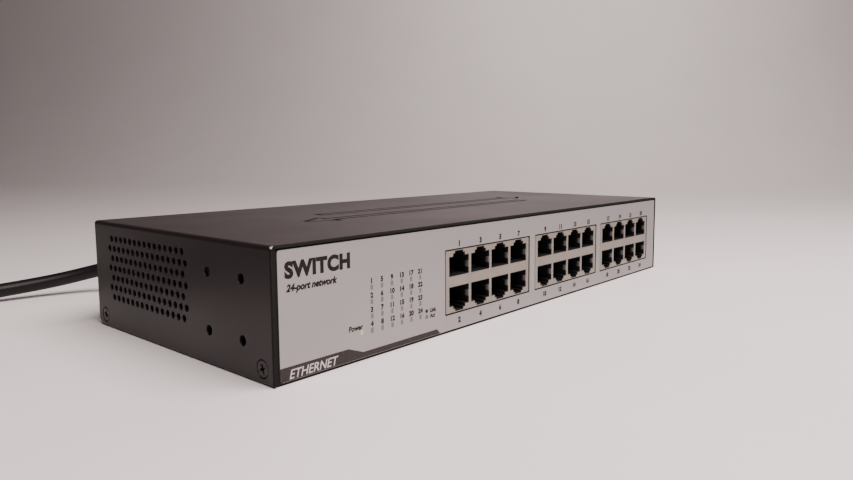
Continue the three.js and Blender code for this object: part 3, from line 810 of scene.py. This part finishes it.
def arrow_outline(tail, tip, middle, half):
    """A long arrow with cut-off corners, counter-clockwise whichever way it points."""
    way = 1 if tip > tail else -1
    neck = tip - way * 1.5 * half
    shaft = 0.38 * half
    upper = [
        (tip, BLUNT),
        (neck + way * 0.87 * BARB, half - 0.5 * BARB),
        (neck, half - BARB),
        (neck, shaft),
        (tail, shaft),
    ]
    points = [(x, middle + y) for x, y in upper] + [(x, middle - y) for x, y in reversed(upper)]
    return points if way > 0 else points[::-1]


def inset(points, distance):
    """A closed counter-clockwise outline moved inwards by a distance."""
    moved = []
    count = len(points)
    for i in range(count):
        before, here, after = (Vector(points[(i + k) % count]) for k in (-1, 0, 1))
        first = (here - before).normalized()
        second = (after - here).normalized()
        normals = [Vector((-d.y, d.x)) for d in (first, second)]
        mitre = normals[0] + normals[1]
        mitre *= distance / (mitre.dot(normals[0]))
        moved.append(tuple(here + mitre))
    return moved


GROOVE = 1.9
SYMBOL = {"left": -88, "right": 92, "offset": 22, "half": 9.5, "upper": 8.5, "lower": -10.5}


def make_cover():
    """The folded cover: two pierced sides, two round folds and a top with two sunk arrows."""
    low, high = node_box("top_cover")
    piece = Piece()
    bottom = low.z
    edge = [
        (low.y, bottom),
        (high.y - CORNER_CUT, bottom),
        (high.y, bottom + CORNER_CUT),
        (high.y, high.z - FOLD),
        (low.y, high.z - FOLD),
    ]
    piece.plate("x", [edge, *side_holes()], low.x, low.x + SHEET, EDGE)
    piece.plate("x", [edge, *side_holes()], high.x - SHEET, high.x, EDGE)
    left, right, half = SYMBOL["left"], SYMBOL["right"], SYMBOL["half"]
    arrows = [
        arrow_outline(left + SYMBOL["offset"], right, SYMBOL["upper"], half),
        arrow_outline(right - SYMBOL["offset"], left, SYMBOL["lower"], half),
    ]
    top = rectangle(low.x + FOLD, low.y, high.x - FOLD, high.y)
    piece.plate("z", [top, *arrows], high.z - SHEET, high.z, EDGE, 2)
    for arrow in arrows:
        piece.plate("z", [inset(arrow, GROOVE)], high.z - SHEET, high.z, EDGE, 2)
    past = 3
    floor = rectangle(
        left - past, SYMBOL["lower"] - half - past, right + past, SYMBOL["upper"] + half + past
    )
    piece.plate("z", [floor], high.z - SHEET - 0.4, high.z - SHEET + 0.02, 0.1)
    for side, x in ((-1, low.x), (1, high.x)):
        profile = fold_profile(side, x, high.z)
        rings = []
        for y, amount in fold_steps(low.y, high.y):
            rings.append([(a, y, b) for a, b in inset(profile, amount)])
        piece.rings(rings)
    return piece.finish("cover", PAINT, CASE, ["top_cover"], 19)


def fold_steps(front, rear):
    """Places along the fold and how far its section is drawn in there."""
    return [(front, EDGE), (front + EDGE, 0), (rear - EDGE, 0), (rear, EDGE)]


def fold_profile(side, x, top):
    """The section of a rounded fold between a side at x and the top."""
    inner = FOLD - SHEET
    centre_x = x - side * FOLD
    centre_z = top - FOLD
    outer_arc = []
    inner_arc = []
    for i in range(9):
        angle = math.radians(90 * i / 8)
        outer_arc.append((centre_x + side * FOLD * math.cos(angle), centre_z + FOLD * math.sin(angle)))
        inner_arc.append((centre_x + side * inner * math.cos(angle), centre_z + inner * math.sin(angle)))
    points = outer_arc + inner_arc[::-1]
    return points if side > 0 else points[::-1]


def turned(points, angle):
    """An outline turned about the origin."""
    c, s = math.cos(angle), math.sin(angle)
    return [(a * c - b * s, a * s + b * c) for a, b in points]


def cross_outline(s, t):
    """A cross recess of half length s and half slot width t, counter-clockwise."""
    arm = [(t, -t), (s, -t), (s, t)]
    return [point for quarter in range(4) for point in turned(arm, quarter * math.pi / 2)]


def on_side(side, y, z):
    """Places a shape made about Z so that it looks out of one side of the case."""
    return Matrix.Translation((side * SIDE, y, z)) @ Matrix.Rotation(side * math.pi / 2, 4, "Y")


def side_ring(place, radius, height, sides):
    """A circle at a height over the side, placed by on_side."""
    return [place @ Vector((a, b, height)) for a, b in circle(0, 0, radius, sides)]


def make_bracket_threads():
    """The tapped collars behind the bracket holes, coloured with painted shade."""
    piece = Piece()
    half = BRACKET["spacing"] / 2
    for side in (-1, 1):
        for y, z in rectangle(-half, -half, half, half):
            place = on_side(side, BRACKET["y"] + y, BRACKET["z"] + z)
            rings = []
            for i in range(7):
                radius = BRACKET["radius"] - (0.02 if i % 2 == 0 else 0.16)
                rings.append(side_ring(place, radius, -0.35 - 0.12 * i, 32))
            for depth in (-1.05, -0.35):
                rings.append(side_ring(place, BRACKET["radius"] + 0.15, depth, 32))
            piece.rings(rings, closed=True)
    return piece.finish("bracket_threads", THREAD_SHADE, CASE)


def make_cover_screw(index, side, y, z, angle):
    """A flat-headed screw with a cross recess, and its shank."""
    place = on_side(side, y, z)
    piece = Piece()
    recess = turned(cross_outline(1.55, 0.36), angle)
    piece.plate("z", [circle(0, 0, SCREW_RADIUS - 0.1, 40), recess], -0.95, -0.12, 0.14, 3)
    bmesh.ops.transform(piece.bm, matrix=place, verts=piece.bm.verts)
    shank = [
        (0.01, -6.1),
        (0.9, -5.6),
        (1.25, -5.2),
        (1.3, -1.6),
        (SCREW_RADIUS - 0.2, -1),
        (0.01, -0.95),
    ]
    piece.lathe(shank, place, 24)
    name = f"cover_screw_{index}"
    return piece.finish(f"flat_screw_{index}", SCREW, CASE, [name], 40)


def make_seats():
    """Dished rings pressed round the cover's screws."""
    piece = Piece()
    for side in (-1, 1):
        for y, z in SCREWS:
            place = on_side(side, y, z)
            section = ((3.14, -0.05), (3.14, -0.9), (2.88, -0.9), (2.88, -0.45))
            rings = [side_ring(place, radius, height, 40) for radius, height in section]
            piece.rings(rings, closed=True)
    return piece.finish("screw_seats", PAINT, CASE)


make_cover()
make_seats()
make_bracket_threads()
for count, (side, (y, z)) in enumerate((s, p) for s in (-1, 1) for p in SCREWS):
    make_cover_screw(count + 1, side, y, z, 0.35 + 0.9 * count)

# ---------------------------------------------------------------- front

LABEL_FRONT = -62.3
BLOCK_X = [-30, 34.3, 98.6]
BLOCK_WIDTH = 58.6
BLOCK_BOTTOM = 7.7
BLOCK_TOP = 33.0
BLOCK_MID = (BLOCK_BOTTOM + BLOCK_TOP) / 2
BLOCK_FRONT = -62.1
PORT_PITCH = 14
PORT_WIDTH = 11.9
PORT_INNER = 2.45
PORT_OUTER = 9.85
SHIELD_CLEARANCE = 0.3
SHIELD_SHEET = 0.3
SHIELD_DEPTH = 26
CONTACT_PITCH = 1.016
LATCH = {"wide": 7.0, "narrow": 4.6, "step": 11.1, "end": 12.05}
WINDOW_GAP = (0.7, 0.6)
LED_FIRST = (-99.2, 9.8)
LED_PITCH = (4.96, 5.1)
LED_SIZE = (1.25, 1.8)
POWER_LED = (-103.9, 9.9)


def led_places():
    """Each indicator's number and place: six columns that count downwards."""
    places = []
    for column in range(6):
        for row in range(4):
            number = column * 4 + 4 - row
            x = LED_FIRST[0] + column * LED_PITCH[0]
            z = LED_FIRST[1] + row * LED_PITCH[1]
            places.append((number, x, z))
    return places


def make_label():
    """The silver overlay, open over the socket blocks and the lights."""
    low, high = node_box("front_label")
    gap_x, gap_z = WINDOW_GAP
    outlines = [rounded(low.x, low.z, high.x, high.z, 0.9, 4)]
    for x in BLOCK_X:
        half = BLOCK_WIDTH / 2 + gap_x
        outlines.append(rounded(x - half, BLOCK_BOTTOM - gap_z, x + half, BLOCK_TOP + gap_z, 0.35, 3))
    for _, x, z in led_places():
        outlines.append(rounded(*led_box(x, z, 0), 0.2, 2))
    outlines.append(rounded(*led_box(*POWER_LED, 0), 0.2, 2))
    piece = Piece()
    piece.plate("y", outlines, low.y, high.y, 0.04)
    return piece.finish("overlay", SILVER, CASE, ["front_label"])


def led_box(x, z, gap):
    """A light's window, drawn in by a gap, as the four numbers of a rectangle."""
    half_x = LED_SIZE[0] / 2 - gap
    half_z = LED_SIZE[1] / 2 - gap
    return (x - half_x, z - half_z, x + half_x, z + half_z)


def add_window(piece, x, z):
    outline = rounded(*led_box(x, z, 0.03), 0.18, 2)
    piece.plate("y", [outline], LABEL_FRONT + 0.05, LABEL_FRONT + 0.26, 0.05)


def make_windows():
    """Diffusing faces just inside the overlay's openings. Only the power light is lit."""
    unlit = Piece()
    for _, x, z in led_places():
        add_window(unlit, x, z)
    unlit.finish("light_windows", WINDOW, CASE)
    lit = Piece()
    add_window(lit, *POWER_LED)
    lit.finish("power_window", LIT_WINDOW, CASE)


INK_FRONT = LABEL_FRONT - 0.02
LED_NUMERAL = {"height": 1.85, "weight": 0.055, "above": 1.5}
PORT_NUMERAL = {"height": 2.3, "weight": 0.07, "upper": 34.5, "lower": 3.2}
# Each printed word's text, x, z, height, width, added weight, slant and letter spacing.
WORDS = [
    ("SWITCH", -121.9, 33.6, 5.1, 26.4, 0.058, 0, 1.07),
    ("24-port network", -124.9, 29.2, 2.3, 20.4, 0.05, 0.25, 1),
    ("Power", -106.9, 11.2, 1.9, 6.6, 0.04, 0.15, 1),
    ("Link", -67.4, 10.6, 1.6, 3.7, 0.05, 0, 1),
    ("Act", -67.6, 8.4, 1.6, 3.1, 0.05, 0, 1),
]
KEY_X = -70.9
LINK_Z = 11.3
ACTIVITY_Z = 9.1


def print_shape(piece, *outlines):
    piece.plate("y", outlines, INK_FRONT - 0.02, INK_FRONT + 0.02, 0.005)


def make_printing():
    """Generic numerals and words in dark ink, and the key to the lights: a dot and a small sun."""
    dark = Piece()
    for text, x, z, *shape in WORDS:
        dark.lettering(text, (x, z, INK_FRONT), *shape)
    for number, x, z in led_places():
        place = (x, z + LED_NUMERAL["above"], INK_FRONT)
        dark.lettering(str(number), place, LED_NUMERAL["height"], None, LED_NUMERAL["weight"])
    for block, x in enumerate(BLOCK_X):
        for i in range(4):
            at = x + (i - 1.5) * PORT_PITCH - 0.2
            for row, z in enumerate((PORT_NUMERAL["upper"], PORT_NUMERAL["lower"])):
                number = 8 * block + 2 * i + 1 + row
                place = (at, z, INK_FRONT)
                dark.lettering(str(number), place, PORT_NUMERAL["height"], None, PORT_NUMERAL["weight"])
    print_shape(dark, circle(KEY_X, LINK_Z, 0.72, 20))
    print_shape(dark, circle(KEY_X, ACTIVITY_Z, 0.55, 20), circle(KEY_X, ACTIVITY_Z, 0.3, 20))
    for i in range(8):
        ray = turned(rectangle(0.68, -0.08, 0.98, 0.08), math.pi * i / 4)
        print_shape(dark, [(KEY_X + a, ACTIVITY_Z + b) for a, b in ray])
    dark.finish("dark_printing", DARK_INK, CASE)


def make_strip():
    """The dark band along the overlay's lower left edge, and its lettering."""
    low, _ = node_box("front_label")
    left = low.x
    edge = [
        (left, low.z + 0.1),
        (-63.1, low.z + 0.1),
        (-65, 3.0),
        (-103.6, 3.0),
        (-110.2, 5.5),
        (left, 5.5),
    ]
    band = Piece()
    band.plate("y", [edge], INK_FRONT, INK_FRONT + 0.04, 0.01)
    band.finish("dark_band", STRIP_INK, CASE)
    words = Piece()
    words.lettering("ETHERNET", (-125, 1.5, INK_FRONT - 0.02), 2.9, 19.6, 0.012, 0.25)
    words.finish("band_lettering", PALE_INK, CASE)


def socket(x, side, grow=0.0):
    """A socket's outline with its two latch steps, above (1) or below (-1) the middle."""
    half = PORT_WIDTH / 2 + grow
    wide = LATCH["wide"] / 2 + grow
    narrow = LATCH["narrow"] / 2 + grow
    near = PORT_INNER - grow
    far = PORT_OUTER + grow
    step = LATCH["step"] + grow
    end = LATCH["end"] + grow
    right = [(half, near), (half, far), (wide, far), (wide, step), (narrow, step), (narrow, end)]
    left = [(-a, b) for a, b in right[::-1]]
    return [(x + a, BLOCK_MID + side * b) for a, b in right + left]


def make_shield(index, x):
    """The block's plated front, its folded lips, its sleeve and the sockets' sprung tabs."""
    half = BLOCK_WIDTH / 2
    places = [(x + (i - 1.5) * PORT_PITCH, side) for side in (-1, 1) for i in range(4)]
    piece = Piece()
    face = rounded(x - half, BLOCK_BOTTOM, x + half, BLOCK_TOP, 0.5, 3)
    outlines = [face, *(socket(at, side, SHIELD_CLEARANCE) for at, side in places)]
    piece.plate("y", outlines, BLOCK_FRONT, BLOCK_FRONT + SHIELD_SHEET, 0.08, 2)
    front = BLOCK_FRONT + 0.2
    back = BLOCK_FRONT + SHIELD_DEPTH
    for low, high in (
        ((x - half, front, BLOCK_TOP - SHIELD_SHEET), (x + half, back, BLOCK_TOP)),
        ((x - half, front, BLOCK_BOTTOM), (x - half + SHIELD_SHEET, back, BLOCK_TOP)),
        ((x + half - SHIELD_SHEET, front, BLOCK_BOTTOM), (x + half, back, BLOCK_TOP)),
        ((x - half, back - SHIELD_SHEET, BLOCK_BOTTOM), (x + half, back, BLOCK_TOP)),
    ):
        piece.block(low, high, 0.05)
    for at, side in places:
        for hand in (-1, 1):
            wall = at + hand * (PORT_WIDTH / 2 + SHIELD_CLEARANCE)
            sprung_tab(piece, wall, hand, BLOCK_MID + side * 6.1)
    return piece.finish(f"shield_{index}", NICKEL, CASE, [f"port_shield_{index}"])


def sprung_tab(piece, wall, hand, z):
    """A tongue folded in from the front that bows out from the socket's side wall."""
    rings = []
    for i in range(9):
        t = i / 8
        y = BLOCK_FRONT + 0.1 + 3.3 * t
        bow = 0.1 + 0.55 * math.sin(math.pi * min(1, t * 1.15)) ** 1.5
        half = 1.35 - 0.3 * t
        inner = wall - hand * bow
        outer = inner + hand * 0.18
        corners = ((inner, z - half), (outer, z - half), (outer, z + half), (inner, z + half))
        rings.append([(a, y, b) for a, b in corners])
    piece.rings(rings)


def make_contacts(index, x):
    """Eight sprung wires in each of the block's eight sockets."""
    piece = Piece()
    for side in (-1, 1):
        for i in range(4):
            at = x + (i - 1.5) * PORT_PITCH
            for wire in range(8):
                across = at + (wire - 3.5) * CONTACT_PITCH
                path = []
                for t in (0, 0.08, 0.2, 0.4, 0.6, 0.8, 1):
                    y = -56.4 + 9.8 * t
                    rise = 0.35 + 3.2 * t + 0.35 * math.sin(math.pi * t)
                    if t < 0.1:
                        rise += 0.25 * (1 - t / 0.1)
                    path.append((across, y, BLOCK_MID + side * (PORT_INNER + rise)))
                piece.tube(path, 0.23, 6)
    rail = Piece()
    for side in (-1, 1):
        z0, z1 = sorted((BLOCK_MID + side * 3.6, BLOCK_MID + side * 7))
        rail.block((x - 27.5, -46.9, z0), (x + 27.5, -46.3, z1), 0.1)
    rail.finish(f"contact_holder_{index}", BLACK_PLASTIC, CASE)
    return piece.finish(f"contact_wires_{index}", GOLD, CASE, [f"port_contacts_{index}"])


make_label()
make_windows()
make_printing()
make_strip()
for number, x in enumerate(BLOCK_X, 1):
    make_shield(number, x)
    make_contacts(number, x)

# ---------------------------------------------------------------- carried-over CAD nodes

NODE_FINISH = {
    "base_chassis": PAINT,
    "port_housing": BLACK_PLASTIC,
    "port_insert": BLACK_PLASTIC,
    "led_stack": WINDOW,
    "power_led": LIT_WINDOW,
    "main_board": BOARD,
    "power_board": BOARD,
    "board_screw": STEEL,
    "power_board_screw": STEEL,
    "magnetics": CHIP,
    "switch_chip": CHIP,
    "heat_sink": ALUMINIUM,
    "power_heat_sink": ALUMINIUM,
    "insulating_sheet": CLEAR,
    "fuse": FUSE,
    "line_filter_choke": TAPE,
    "transformer": TAPE,
    "bulk_capacitor": SLEEVE,
    "output_capacitor": SLEEVE,
    "dc_harness": WIRE,
    "inlet_body": BLACK_PLASTIC,
    "inlet_pin": STEEL,
    "plug_blade": STEEL,
    "plug_earth_pin": STEEL,
}


def finish_nodes():
    """Gives each carried-over node the material of the longest matching name."""
    for name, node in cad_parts.items():
        matches = [key for key in NODE_FINISH if name.startswith(key)]
        if not matches or node.type != "MESH":
            continue
        material = NODE_FINISH[max(matches, key=len)]
        node.data.materials.clear()
        node.data.materials.append(material)


finish_nodes()

# ---------------------------------------------------------------- stage and light


def make_stage():
    """A pale floor that curves up into a wall behind the object, in metres."""
    bm = bmesh.new()
    level = -0.0001
    bend_start = 1.1
    bend_radius = 0.7
    profile = [(-6, level), (bend_start, level)]
    for i in range(1, 13):
        angle = math.radians(90 * i / 12)
        rise = bend_radius * (1 - math.cos(angle))
        profile.append((bend_start + bend_radius * math.sin(angle), level + rise))
    profile.append((bend_start + bend_radius, 3))
    rows = [[bm.verts.new((x, y, z)) for x in (-8, 8)] for y, z in profile]
    for first, second in zip(rows, rows[1:]):
        bm.faces.new((first[0], first[1], second[1], second[0]))
    turn = Matrix.Rotation(math.radians(-YAW), 4, "Z")
    bmesh.ops.transform(bm, matrix=turn, verts=bm.verts)
    mesh = bpy.data.meshes.new("floor")
    bm.to_mesh(mesh)
    bm.free()
    mesh.shade_smooth()
    mesh.materials.append(floor_paint("pale_floor", (0.86, 0.82, 0.81), 0.6))
    floor = bpy.data.objects.new("floor", mesh)
    bpy.context.collection.objects.link(floor)


WARM = (1, 0.885, 0.875)


def make_light(name, place, target, size, power):
    """A soft rectangular light, in metres and watts, aimed at a target."""
    data = bpy.data.lights.new(name, "AREA")
    data.shape = "RECTANGLE"
    data.size, data.size_y = size
    data.energy = power
    data.color = WARM
    light = bpy.data.objects.new(name, data)
    light.location = place
    light.visible_camera = False
    direction = Vector(target) - Vector(place)
    light.rotation_euler = direction.to_track_quat("-Z", "Y").to_euler()
    bpy.context.collection.objects.link(light)


def make_world():
    world = bpy.data.worlds.new("studio")
    world.use_nodes = True
    background = world.node_tree.nodes["Background"]
    background.inputs["Color"].default_value = (*WARM, 1)
    background.inputs["Strength"].default_value = 0.05
    bpy.context.scene.world = world


make_stage()
make_world()
make_light("overhead", (-0.02, -0.42, 0.7), (-0.02, -0.32, 0), (0.75, 0.55), 15)
make_light("wall_wash", (1.07, 0.276, 1.3), (1.686, 0.786, 0.4), (0.8, 0.5), 12)
